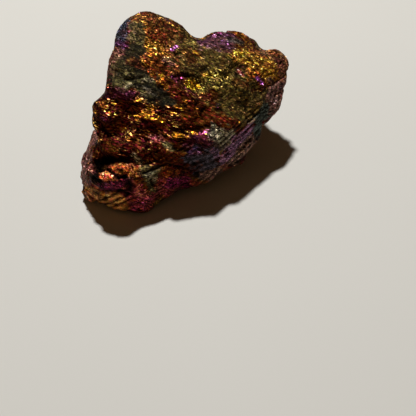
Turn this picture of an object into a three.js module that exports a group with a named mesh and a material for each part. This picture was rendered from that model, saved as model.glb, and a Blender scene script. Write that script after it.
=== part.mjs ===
// Peacock ore: one broken lump of bornite, resting on a small flat spot.
// Units are millimetres, +Z is up and the lump stands on Z = 0. Its long side lies along X,
// its sloping front faces -Y and its summit is at the left, on -X.
//
// The lump is a solid field. Broken blocks, each the hull of named corners, are grown together,
// shelves are added along its cleavage, hollows are carved out, and the whole is roughened. The
// skin is an icosahedron shrunk onto the field from outside, with its points kept evenly spread,
// so the body is always one closed surface.

import * as THREE from "three";
import { ConvexHull } from "three/addons/math/ConvexHull.js";
import { ImprovedNoise } from "three/addons/math/ImprovedNoise.js";
import { mergeVertices } from "three/addons/utils/BufferGeometryUtils.js";

// ---------------------------------------------------------------------------------------------
// Driving dimensions
// ---------------------------------------------------------------------------------------------

const LENGTH = 65; // along X
const DEPTH = 56; // along Y
const HEIGHT = 44; // along Z

const CLEAVAGE = new THREE.Vector3(0.26, -0.25, 0.93).normalize(); // what the ledges face

// How the blocks meet.
const INSET = 0.5; // how far a block's faces lie inside its corners, the tips of the rough skin
const EDGE_ROUNDING = 1.3; // how softly two broken faces of one block meet
const JOIN_ROUNDING = 1.6; // how softly a block runs into the next
const SHELF_ROUNDING = 0.6; // and a shelf into its block
const CARVE_ROUNDING = 1; // how softly a hollow's rim turns

// How rough the skin is.
const LUMPS = { size: 10, height: 0.8 }; // the broad unevenness of a broken face
const CHIPS = { size: 6, tilt: 0.26, edge: 0.12 }; // small flat faces: rise over run, part of size
const LEDGES = {
  pitch: 4.6, // from one ledge to the next, along the cleavage
  depth: 1.3, // how far a ledge stands out
  step: 0.2, // the part of the pitch in which it steps back
  wander: 0.35, // how far a ledge strays from its plane, in pitches
  wanderSize: 20,
  patchSize: 12, // the size of the patches that have ledges
};
const WEAR = { from: 29, to: 34, share: 0.45 }; // the top is smoother, from one height to the other

// How the skin is drawn onto the lump.
const HEART = new THREE.Vector3(-2, -3, 18); // a point deep inside
const REACH = 75; // how far from the heart the skin starts
const COARSE_ROWS = 11; // rows of triangles on each face of the icosahedron it starts as
const START_GAP = 10; // how far off the lump the skin starts to shrink
const SPLIT_GAP = 1.5; // how far off it each triangle is cut in four
const COARSE_PASSES = 50; // steps of the shrinking before that
const FINE_PASSES = 10; // and after it
const LAST_PASSES = 2; // how often the points are spread again once they lie on the lump
const APPROACH_STEPS = 30; // steps that bring a point from outside up to the lump
const SETTLE_STEPS = 3; // steps along the slope that bring it to its gap
const SETTLE_REACH = 0.6; // the longest of those steps
const LEAST_SLOPE = 0.3; // the gentlest slope that they trust, squared
const NUDGE = 0.02; // how far apart the field is read for its slope
const FLAT_SNAP = 0.02; // points lower than this lie on the ground

// ---------------------------------------------------------------------------------------------
// Broken blocks: corners [x, y, z]
// ---------------------------------------------------------------------------------------------

const BLOCKS = {
  // The tall left-hand mass: its top slopes to the front, and a narrow bevel runs down its left.
  summit: [
    [-18.5, 12.5, 45],
    [-13, 17, 45],
    [-7.2, 16.6, 44],
    [-2.5, 13.5, 40],
    [4, 11, 37],
    [-16.5, 7.5, 45],
    [-21.3, 7, 43],
    [-21, 0, 40],
    [-21.8, -6, 36],
    [-24, -9, 33],
    [-25, -12.5, 27],
    [-25, -15, 20],
    [-10.5, -12, 29],
    [-1, -20, 18],
    [6, -13, 24],
    [-24, 4, 30],
    [-22, 19, 26],
    [-14, 25, 16],
    [-8, 25, 30],
    [5, 23, 26],
  ],
  // What carries it, down to the flat spot.
  trunk: [
    [-24, -11, 27],
    [-27, -18.5, 20.5],
    [-20, -22.5, 20],
    [-11, -23, 18.5],
    [-1, -21, 17.5],
    [6, -17, 20],
    [-30, -18, 4],
    [-18.5, -14, -4],
    [-8, -16, -4],
    [0.5, -10, -4],
    [5.5, 3, -4],
    [-1, 11.5, -4],
    [-12, 10.5, -4],
    [-18.5, 1, -4],
    [-27, 4, 14],
    [-20, 20, 16],
    [-10, 25, 12],
    [8, 23, 18],
    [14, 6, 24],
  ],
  // A knob on the left, half-way up.
  leftKnob: [
    [-25.4, -9, 32.2],
    [-28.8, -11, 29.5],
    [-31.4, -12.5, 26.5],
    [-27.3, -15.5, 22.5],
    [-24, -17.5, 22.5],
    [-20, -13, 29],
    [-24, -4, 27],
    [-27, -7, 23],
  ],
  // The lower left side, which bulges out again below the knob.
  leftCheek: [
    [-27, -16.5, 19.5],
    [-30.3, -17, 16.5],
    [-33.3, -18, 10],
    [-34, -19, 4],
    [-32, -20.5, 0],
    [-28, -25.5, 2],
    [-29.5, -25.5, 14.5],
    [-24, -18, 19],
    [-30, -6, 9],
    [-28, -4, 17],
  ],
  // The foot, a wedge whose blunt front runs back to the right.
  foot: [
    [-26, -18, 18.5],
    [-27, -27.5, 14.5],
    [-20, -29, 15],
    [-12, -27.5, 14],
    [-2, -21.5, 16.5],
    [-33, -19, 3],
    [-30, -22.5, 0.5],
    [-24, -25.5, 0.5],
    [-13, -27.5, 0.5],
    [-7, -24.5, 0.5],
    [0, -17.5, 1.5],
  ],
  // The shelf that juts out over the foot.
  prow: [
    [-25.5, -24, 17],
    [-27, -28.5, 15.5],
    [-20, -31.5, 16.5],
    [-13.5, -28.5, 15.5],
    [-12, -24, 16],
    [-25, -28, 11],
    [-18, -29.5, 10],
    [-13, -27, 11],
  ],
  // The toe at the bottom of it.
  toe: [
    [-34, -18.5, 5.5],
    [-31, -22.5, 5],
    [-25.5, -26.5, 5.5],
    [-19, -28.5, 4.5],
    [-31, -20.5, 0.5],
    [-24.5, -26, 0.5],
    [-13.5, -29.5, 0.5],
    [-8, -26, 0.5],
    [-14, -27, 7],
    [-28, -20, 8],
  ],
  // The right-hand mass, which overhangs the ground.
  shoulder: [
    [2, 12, 37],
    [9, 7, 36.5],
    [14, 6, 34.5],
    [22, 14, 32],
    [29, 16.5, 29.5],
    [33, 14.5, 28],
    [33.5, 12, 25.5],
    [30, 8, 23.5],
    [30.6, 4.2, 19.2],
    [25.5, 1.5, 15.5],
    [19, -8.5, 19],
    [6, -21.5, 19],
    [-2, -21, 17],
    [1, -18.5, 1.5],
    [7, -18, 2],
    [15.5, -11.5, 4.5],
    [21.5, -6.5, 8],
    [22, -0.5, 12.5],
    [27, 20, 17],
    [22, 24, 24],
    [14, 25, 12],
    [6, 17, 3],
    [12, 7, 2],
  ],
  // The broken back, which joins both masses.
  back: [
    [-22, 18, 24],
    [-16, 21.5, 31],
    [-7, 25, 31],
    [7, 26.5, 30],
    [20, 25.5, 26],
    [25, 20, 19],
    [15, 25.5, 12.5],
    [2, 25, 10],
    [-13, 23, 12],
    [-4, 10, 20],
    [10, 10, 20],
  ],
  // The ridge at the top of it, across a shallow saddle.
  backRidge: [
    [4.5, 17, 35],
    [12, 18, 36.8],
    [17.5, 20.5, 34],
    [23, 19, 30.5],
    [6, 12, 35.4],
    [14, 11, 35],
    [20, 13, 32.8],
    [22, 26, 22],
    [6, 26, 24],
    [4, 20, 28],
    [14, 12, 27],
    [24, 14, 24],
  ],
};

// Shelves that catch the light on the front: the two ends of each lip.
const SHELVES = [
  { left: [-19, -12, 31], right: [-12.5, -12.5, 29.5], width: 2.5, drop: 3 },
  { left: [-14.5, -14.5, 27], right: [-7, -15.5, 24.5], width: 4, drop: 4 },
  { left: [-4.5, -11.5, 29], right: [1, -11.5, 27.8], width: 3, drop: 3 },
  { left: [-4, -18.5, 21.5], right: [1.5, -18.5, 20.5], width: 3, drop: 3 },
  { left: [-14, -20.5, 20.5], right: [-7, -21.5, 18.5], width: 3, drop: 3 },
  { left: [4, -9.5, 27.5], right: [12, -9, 25.5], width: 3.5, drop: 4.5 },
];

// Wide scoops that shape the blocks: ellipsoids, turned about Z by `turn` degrees.
const SCOOPS = {
  saddle: { centre: [11, 12, 43], size: [9, 9, 8.5], turn: 8 },
  left: { centre: [-33, 0, 27], size: [7, 8, 9], turn: 0 },
};

// Narrow hollows that are cut into the rough skin.
const HOLLOWS = {
  footCave: { centre: [-20.5, -25, 18.6], size: [6, 2.8, 1.7], turn: 0 },
  bay: { centre: [4, -16, 23.2], size: [5.5, 2.4, 1.6], turn: 8 },
  crack: { centre: [-3, -24, 14.5], size: [9, 2, 1], turn: 14 },
  leftNotch: { centre: [-32, -14, 21.6], size: [5.5, 5, 1.5], turn: 0 },
};

// ---------------------------------------------------------------------------------------------
// Field helpers
// ---------------------------------------------------------------------------------------------

const perlin = new ImprovedNoise();
const scratch = new THREE.Vector3();

/** Noise of a point, from about -1 to 1, with features `size` millimetres across. */
function noise(point, size, seed) {
  return perlin.noise(point.x / size + seed, point.y / size + seed, point.z / size - seed);
}

/** A steady random number from 0 to 1 for a whole-number place and a seed. */
function random(x, y, z, seed) {
  let hash = Math.imul(x, 374761393) ^ Math.imul(y, 668265263) ^ Math.imul(z, 2147483647);
  hash = Math.imul(hash ^ Math.imul(seed, 1274126177), 1103515245);
  hash = Math.imul(hash ^ (hash >>> 15), 2246822519);
  return ((hash ^ (hash >>> 13)) >>> 0) / 4294967296;
}

/** Relief of small flat faces, each tipped its own way about its own middle. */
function chips(point) {
  const column = Math.floor(point.x / CHIPS.size);
  const row = Math.floor(point.y / CHIPS.size);
  const layer = Math.floor(point.z / CHIPS.size);
  const tip = new THREE.Vector3();
  const away = new THREE.Vector3();
  let sum = 0;
  let total = 0;
  for (let x = column - 1; x <= column + 1; x += 1) {
    for (let y = row - 1; y <= row + 1; y += 1) {
      for (let z = layer - 1; z <= layer + 1; z += 1) {
        away.set(x + random(x, y, z, 1), y + random(x, y, z, 2), z + random(x, y, z, 3));
        away.multiplyScalar(-1).addScaledVector(point, 1 / CHIPS.size);
        tip.set(random(x, y, z, 4), random(x, y, z, 5), random(x, y, z, 6)).subScalar(0.5);
        const weight = Math.exp(-away.lengthSq() / CHIPS.edge);
        sum += weight * away.dot(tip.normalize());
        total += weight;
      }
    }
  }
  return (CHIPS.size * CHIPS.tilt * sum) / total;
}

/** The larger of two field values, rounded where they meet. */
function smoothMax(a, b, rounding) {
  const overlap = Math.max(rounding - Math.abs(a - b), 0) / rounding;
  return Math.max(a, b) + (overlap * overlap * rounding) / 4;
}

/** The smaller of two field values, rounded where they meet. */
function smoothMin(a, b, rounding) {
  return -smoothMax(-a, -b, rounding);
}

/** The planes of the convex hull of a block's corners. */
function hullPlanes(corners) {
  const hull = new ConvexHull().setFromPoints(corners);
  return hull.faces.map((face) => new THREE.Plane(face.normal.clone(), -face.constant));
}

/** Field of one convex block: negative inside, in millimetres. */
function blockField(planes, point) {
  let value = -Infinity;
  for (const plane of planes) value = smoothMax(value, plane.distanceToPoint(point), EDGE_ROUNDING);
  return value + INSET;
}

/** The corners of a shelf: a lip, a tread that runs back into the body and a face below. */
function shelfCorners({ left, right, width, drop }) {
  const lip = [left, right].map((end) => new THREE.Vector3(...end));
  const back = new THREE.Vector3(0, width, 0).projectOnPlane(CLEAVAGE);
  const down = new THREE.Vector3(0, drop * 0.4, -drop);
  return lip.flatMap((end) => [end, end.clone().add(back), end.clone().add(down)]);
}

/** A hollow, ready to measure: the matrix that takes it to a unit sphere, and its least half size. */
function hollowShape({ centre, size, turn }) {
  const up = new THREE.Vector3(0, 0, 1);
  const rotation = new THREE.Quaternion().setFromAxisAngle(up, THREE.MathUtils.degToRad(turn));
  const place = new THREE.Matrix4();
  place.compose(new THREE.Vector3(...centre), rotation, new THREE.Vector3(...size));
  return { toSphere: place.invert(), least: Math.min(...size) };
}

/** Field of one hollow: negative inside it. */
function hollowField({ toSphere, least }, point) {
  return (scratch.copy(point).applyMatrix4(toSphere).length() - 1) * least;
}

// ---------------------------------------------------------------------------------------------
// The lump
// ---------------------------------------------------------------------------------------------

const blocks = Object.values(BLOCKS).map((corners) =>
  hullPlanes(corners.map((corner) => new THREE.Vector3(...corner))),
);
const shelves = SHELVES.map((shelf) => hullPlanes(shelfCorners(shelf)));
const scoops = Object.values(SCOOPS).map(hollowShape);
const hollows = Object.values(HOLLOWS).map(hollowShape);

/** Natural ledges: the surface stands out up to each cleavage plane, then steps back. */
function ledgeRelief(point) {
  const stray = LEDGES.wander * noise(point, LEDGES.wanderSize, 3.7);
  const level = CLEAVAGE.dot(point) / LEDGES.pitch + stray;
  const phase = level - Math.floor(level);
  const tread = 1 - LEDGES.step;
  const profile = phase < tread ? phase / tread : (1 - phase) / LEDGES.step;
  const patch = THREE.MathUtils.smoothstep(noise(point, LEDGES.patchSize, 9.1), -0.35, 0.3);
  return LEDGES.depth * patch * (profile - 0.5);
}

/** How far the rough surface stands out from the plain blocks, less so on the worn top. */
function relief(point) {
  const lumps = LUMPS.height * noise(point, LUMPS.size, 0.4);
  const wear = WEAR.share * THREE.MathUtils.smoothstep(point.z, WEAR.from, WEAR.to);
  return (1 - wear) * (lumps + chips(point) + ledgeRelief(point));
}

/** The whole lump: blocks less scoops, roughened, with shelves and hollows, flat at the ground. */
function lumpField(point) {
  let value = Infinity;
  for (const planes of blocks) value = smoothMin(value, blockField(planes, point), JOIN_ROUNDING);
  for (const scoop of scoops) value = smoothMax(value, -hollowField(scoop, point), CARVE_ROUNDING);
  value -= relief(point);
  for (const planes of shelves) value = smoothMin(value, blockField(planes, point), SHELF_ROUNDING);
  for (const hollow of hollows) value = smoothMax(value, -hollowField(hollow, point), CARVE_ROUNDING);
  return Math.max(value, -point.z);
}

/** The point where the ray from the heart towards a target comes within `gap` of the lump. */
function approach(target, gap) {
  const direction = target.clone().sub(HEART).normalize();
  const point = HEART.clone().addScaledVector(direction, REACH);
  for (let i = 0; i < APPROACH_STEPS; i += 1) {
    point.addScaledVector(direction, gap - lumpField(point));
  }
  return point;
}

/** Moves a point along the field's slope until it lies `gap` off the lump. */
function settle(point, gap) {
  const slope = new THREE.Vector3();
  for (let i = 0; i < SETTLE_STEPS; i += 1) {
    const value = lumpField(point);
    for (const axis of ["x", "y", "z"]) {
      point[axis] += NUDGE;
      slope[axis] = (lumpField(point) - value) / NUDGE;
      point[axis] -= NUDGE;
    }
    const stride = (gap - value) / Math.max(slope.lengthSq(), LEAST_SLOPE);
    point.addScaledVector(slope, THREE.MathUtils.clamp(stride, -SETTLE_REACH, SETTLE_REACH));
  }
}

/** Draws the skin in from one gap to another, spreading its points evenly on the way. */
function shrink(points, triangles, from, to, passes) {
  const neighbours = points.map(() => new Set());
  for (const corners of triangles) {
    for (const a of corners) for (const b of corners) if (a !== b) neighbours[a].add(b);
  }
  for (let pass = 1; pass <= passes; pass += 1) {
    const means = points.map((point, i) => {
      const mean = new THREE.Vector3();
      let total = 0;
      for (const other of neighbours[i]) {
        const pull = point.distanceTo(points[other]);
        mean.addScaledVector(points[other], pull);
        total += pull;
      }
      return mean.divideScalar(total);
    });
    const gap = THREE.MathUtils.lerp(from, to, pass / passes);
    points.forEach((point, i) => settle(point.lerp(means[i], 0.5), gap));
  }
}

/** Cuts each triangle into four. */
function splitTriangles(points, triangles) {
  const middles = new Map();
  const middleOf = (a, b) => {
    const key = `${Math.min(a, b)} ${Math.max(a, b)}`;
    if (!middles.has(key)) {
      middles.set(key, points.length);
      points.push(points[a].clone().lerp(points[b], 0.5));
    }
    return middles.get(key);
  };
  return triangles.flatMap(([a, b, c]) => {
    const [ab, bc, ca] = [middleOf(a, b), middleOf(b, c), middleOf(c, a)];
    return [
      [a, ab, ca],
      [ab, b, bc],
      [ca, bc, c],
      [ab, bc, ca],
    ];
  });
}

/** The closed skin of the lump. */
function skinGeometry() {
  const sphere = new THREE.IcosahedronGeometry(1, COARSE_ROWS - 1);
  sphere.deleteAttribute("normal");
  sphere.deleteAttribute("uv");
  const start = mergeVertices(sphere, 1e-4);
  const position = start.getAttribute("position");
  const index = start.getIndex().array;
  const halfSize = new THREE.Vector3(LENGTH, DEPTH, HEIGHT).divideScalar(2);
  const middle = new THREE.Vector3(0, 0, HEIGHT / 2);
  const points = Array.from({ length: position.count }, (_, i) => {
    const target = new THREE.Vector3().fromBufferAttribute(position, i);
    return approach(target.multiply(halfSize).add(middle), START_GAP);
  });
  let triangles = [];
  for (let i = 0; i < index.length; i += 3) triangles.push([index[i], index[i + 1], index[i + 2]]);

  shrink(points, triangles, START_GAP, SPLIT_GAP, COARSE_PASSES);
  triangles = splitTriangles(points, triangles);
  shrink(points, triangles, SPLIT_GAP, 0, FINE_PASSES);
  shrink(points, triangles, 0, 0, LAST_PASSES);

  for (const point of points) if (point.z < FLAT_SNAP) point.z = 0;
  const geometry = new THREE.BufferGeometry().setFromPoints(points);
  geometry.setIndex(triangles.flat());
  geometry.computeVertexNormals();
  return geometry;
}

const ore = new THREE.Mesh(
  skinGeometry(),
  new THREE.MeshStandardMaterial({ color: 0x6b3a1e, roughness: 0.45, metalness: 0.85 }),
);
ore.name = "peacock_ore";

// The lump stands with the middle of its box over the origin.
ore.geometry.computeBoundingBox();
const boxMiddle = ore.geometry.boundingBox.getCenter(new THREE.Vector3());
ore.position.set(-boxMiddle.x, -boxMiddle.y, 0);

const part = new THREE.Group();
part.name = "part";
part.add(ore);

export default part;
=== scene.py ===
"""Peacock ore: a broken lump of bornite with a metallic tarnish of gold, maroon, violet and blue.

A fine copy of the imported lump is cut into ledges, chips, pits, ribs and cracks, and each of its
points is given its tarnish. One material turns that into plates, grains, fibres and fine steps.
Marks are given by pixels of the camera's view, which is 416 pixels wide and high, and are laid
on the rock that lies behind them. Lengths are millimetres until a mesh is filled.
"""

import logging
import math
from dataclasses import dataclass, field
from enum import Enum
from typing import Callable

import bmesh
import bpy
import numpy as np
from mathutils import Euler, Matrix, Vector, noise
from mathutils.bvhtree import BVHTree


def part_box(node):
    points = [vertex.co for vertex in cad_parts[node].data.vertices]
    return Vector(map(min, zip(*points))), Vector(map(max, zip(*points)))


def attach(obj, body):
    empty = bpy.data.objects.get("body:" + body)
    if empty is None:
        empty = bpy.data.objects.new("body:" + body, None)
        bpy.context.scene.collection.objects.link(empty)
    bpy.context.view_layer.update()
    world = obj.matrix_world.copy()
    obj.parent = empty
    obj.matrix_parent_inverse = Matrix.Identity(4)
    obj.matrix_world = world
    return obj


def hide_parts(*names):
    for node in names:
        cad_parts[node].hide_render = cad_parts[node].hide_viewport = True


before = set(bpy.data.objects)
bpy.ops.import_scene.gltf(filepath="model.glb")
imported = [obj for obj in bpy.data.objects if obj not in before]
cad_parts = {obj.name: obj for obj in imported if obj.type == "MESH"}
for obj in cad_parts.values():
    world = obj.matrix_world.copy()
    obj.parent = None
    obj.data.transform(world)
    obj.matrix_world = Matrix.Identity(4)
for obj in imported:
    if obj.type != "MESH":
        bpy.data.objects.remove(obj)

log = logging.getLogger("peacock_ore")

MM = 0.001  # metres in a millimetre
NODE = "peacock_ore"
CLEAVAGE = Vector((0.17, -0.26, 0.95)).normalized()  # what the natural ledges face
STRIKE = Vector((0.95, -0.25, -0.238)).normalized()  # along their edges
ACROSS = CLEAVAGE.cross(STRIKE)
GRAIN = np.array((STRIKE, ACROSS, CLEAVAGE))  # rows turn a place into the cleavage's own axes
HALF = Vector((0.5, 0.5, 0.5))  # the middle of what a random vector or colour can be

Pixel = tuple[float, float]
Triple = tuple[float, float, float]
Span = tuple[float, float]
Tree = bpy.types.NodeTree
Node = bpy.types.Node
Socket = bpy.types.NodeSocket


def linear(code: str) -> Triple:
    """Turns an sRGB hex value into linear light.

    Args:
        code: six hex digits, such as "8a5a1e".

    Returns:
        Red, green and blue from 0 to 1.
    """

    def channel(value: float) -> float:
        """One channel of it, by the sRGB curve."""
        return value / 12.92 if value <= 0.04045 else ((value + 0.055) / 1.055) ** 2.4

    return tuple(channel(int(code[i : i + 2], 16) / 255) for i in (0, 2, 4))


def smoothstep(low: float, high: float, values: np.ndarray) -> np.ndarray:
    """Rises softly from 0 at low to 1 at high."""
    share = np.clip((values - low) / (high - low), 0, 1)
    return share * share * (3 - 2 * share)


@dataclass(frozen=True)
class Viewpoint:
    """Where the lump is seen from."""

    place: Triple = (11.335, -191.338, 162.713)
    turn: Triple = (45.897, 1.128, 0.524)  # degrees about X, Y and Z
    focal: float = 770.0  # in pixels of the view
    view_pixels: int = 416
    nearest: float = 10.0  # nothing closer than this is drawn

    def euler(self) -> Euler:
        """The camera's turn."""
        return Euler([math.radians(angle) for angle in self.turn])

    def ray(self, pixel: Pixel) -> Vector:
        """The direction in which the camera sees a pixel of its view.

        Args:
            pixel: distance from the view's left edge and from its top.

        Returns:
            A unit vector.
        """
        half = self.view_pixels / 2
        sight = Vector((pixel[0] - half, half - pixel[1], -self.focal)).normalized()
        sight.rotate(self.euler())
        return sight

    def camera(self) -> bpy.types.Object:
        """Makes the camera and makes it the scene's.

        Returns:
            The camera.
        """
        data = bpy.data.cameras.new("camera")
        data.lens = data.sensor_width * self.focal / self.view_pixels
        data.clip_start = self.nearest * MM
        camera = bpy.data.objects.new("camera", data)
        camera.location = Vector(self.place) * MM
        camera.rotation_euler = self.euler()
        bpy.context.scene.collection.objects.link(camera)
        bpy.context.scene.camera = camera
        return camera


@dataclass(frozen=True)
class Tone:
    """A tarnish: its colour, the painted highlight colour of its treads, and how metallic, rough
    and flashing it is.
    """

    body: str
    glint: str
    metal: float = 1.0
    rough: float = 0.36
    flash: float = 0.5  # the share of its plates whose treads take the painted highlight colour
    speck: float = 1.0  # how much its grains differ in brightness
    grit: float = 1.0  # how much its grains tip
    dash: float = 0.0  # above a half its grains are long and thin


COLOURS = ("body", "glint")
TRAITS = ("metal", "rough", "flash", "speck", "grit", "dash")
FROM_RELIEF = ("shade", "turns", "furrows")  # the painted shade in hollows and painted highlight on proud places, and the ribs that cross it


class Tarnish(Enum):
    """The tarnishes of the lump, the bare matrix between them, a painted highlight and a painted
    shade, with values in Tone's order.
    """

    MAROON = Tone("44180d", "a07838", 1.0, 0.42, 0.22, 1.8, 0.5, 1.0)
    EMBER = Tone("562910", "885018", 1.0, 0.54, 0.1, 0.9, 0.7, 1.0)
    BRONZE = Tone("804818", "d89430", 1.0, 0.46, 0.35, 1.0, 0.8)
    # Its glint colour is a painted highlight, taken by nearly every tread.
    GOLD = Tone("5c280c", "d08c20", 1.0, 0.44, 0.9, 0.8, 0.5, 1.0)
    SPECKLE = Tone("6c401c", "a87438", 0.85, 0.52, 0.25)
    OLIVE = Tone("605022", "846c3c", 0.75, 0.6, 0.2, 0.9, 0.8)
    LEMON = Tone("685824", "b09848", 0.8, 0.52, 0.3, 1.3)
    MATRIX = Tone("38321a", "5c5434", 0.1, 0.85, 0.15, 1.2)
    PALE_MATRIX = Tone("6e6438", "988c5c", 0.1, 0.8, 0.1, 1.4)
    GANGUE = Tone("b0a486", "d0c6a8", 0.05, 0.85, 0.1, 2.2, 1.5)
    VIOLET = Tone("5c3838", "6e4a5c", 0.9, 0.56, 0.2, 0.8, 0.8)
    # Its tarnish, painted lighter to stand in for the light that the shaded lower right lacks.
    PLUM = Tone("9c7090", "8c78b0", 0.9, 0.42, 0.3, 2.4, 0.8)
    BLUE = Tone("44444c", "7480b0", 0.9, 0.42, 0.25, 1.4)
    MAGENTA = Tone("702444", "a03070", 0.95, 0.36, 0.2, 2.2, 0.6)
    CRIMSON = Tone("5c2824", "8c483c", 0.9, 0.52, 0.25)
    # Crimson painted lighter, to stand in for the light that the shaded foot lacks.
    WINE = Tone("9c4440", "a85850", 0.95, 0.4, 0.12, 1.8, 0.6)
    PINK = Tone("843f34", "e08c80", 0.95, 0.44, 0.3, 1.3)
    SALMON = Tone("90481c", "e08850", 0.95, 0.4, 0.3, 1.4)
    SLATE = Tone("4c4650", "585470", 0.7, 0.44, 0.2, 2.2, 1.0)
    TEAL = Tone("4a544c", "5a625e", 0.6, 0.46, 0.2, 1.6, 1.0)
    BRICK = Tone("744a3e", "a87868", 0.85, 0.5, 0.2, 1.4)
    INDIGO = Tone("4a2440", "784484", 0.9, 0.5, 0.2, 1.2, 0.8)
    LILAC = Tone("7c5c50", "a08480", 0.85, 0.54, 0.06, 1.2, 0.5)
    # Its glint colour is a painted highlight, laid as small bright bars.
    ORCHID = Tone("6c2060", "e878e8", 0.95, 0.36, 0.9, 0.8, 0.4)
    SULPHUR = Tone("9c7014", "ffc830", 0.9, 0.46, 0.6, 1.3)
    # Painted highlight, laid on the ledges of the toe and on the boulder.
    PAINTED_HIGHLIGHT = Tone("c08c4c", "fff0b0", 0.95, 0.32, 0.3, 2.6, 0.5)
    HEATHER = Tone("8c6054", "a88478", 0.85, 0.5, 0.1, 1.2, 0.5)
    DAMSON = Tone("3c1420", "6c2448", 0.95, 0.44, 0.1, 1.0, 0.6)
    BRASS = Tone("d89c38", "ecc45c", 0.9, 0.5, 0.3, 1.6, 0.9)
    PURPLE = Tone("58162a", "9c3078", 0.95, 0.34, 0.25, 1.8, 0.6)
    # Its tarnish, painted lighter to stand in for the light that the shaded lower edge lacks.
    MAUVE = Tone("8c6e60", "b09888", 0.85, 0.44, 0.12, 2.2, 0.8)
    RUSSET = Tone("84583c", "b8845c", 0.85, 0.5, 0.2)
    CORAL = Tone("c8642c", "f89c5c", 0.95, 0.4, 0.3, 1.2, 0.7)
    # Its tarnish, painted lighter to stand in for the light that the shaded toe lacks.
    TOE = Tone("b47c40", "f8cc80", 0.95, 0.36, 0.25, 0.8, 0.5)
    # Painted shade, laid in cracks, holes, under ledges and in the gaps between plates.
    PAINTED_SHADE = Tone("120806", "2c1410", rough=0.65)


@dataclass(frozen=True)
class Patch:
    """A patch or band of one tarnish, laid along a path across the view."""

    tarnish: Tarnish
    path: tuple[Pixel, ...]
    width: float  # its half width in millimetres
    strength: float = 1.0


@dataclass(frozen=True)
class Cut:
    """A groove along a path across the view, or a rib where its depth is negative."""

    path: tuple[Pixel, ...]
    width: float  # its half width in millimetres
    depth: float


@dataclass(frozen=True)
class Striae:
    """Fine parallel ribs that run along a path across the view, in a band on both sides of it."""

    path: tuple[Pixel, ...]
    width: float  # the band's half width in millimetres
    pitch: float
    depth: float
    lines: float  # how much its colour is painted darker in its furrows and lighter on its ribs, from 0 to 1


T = Tarnish
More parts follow.
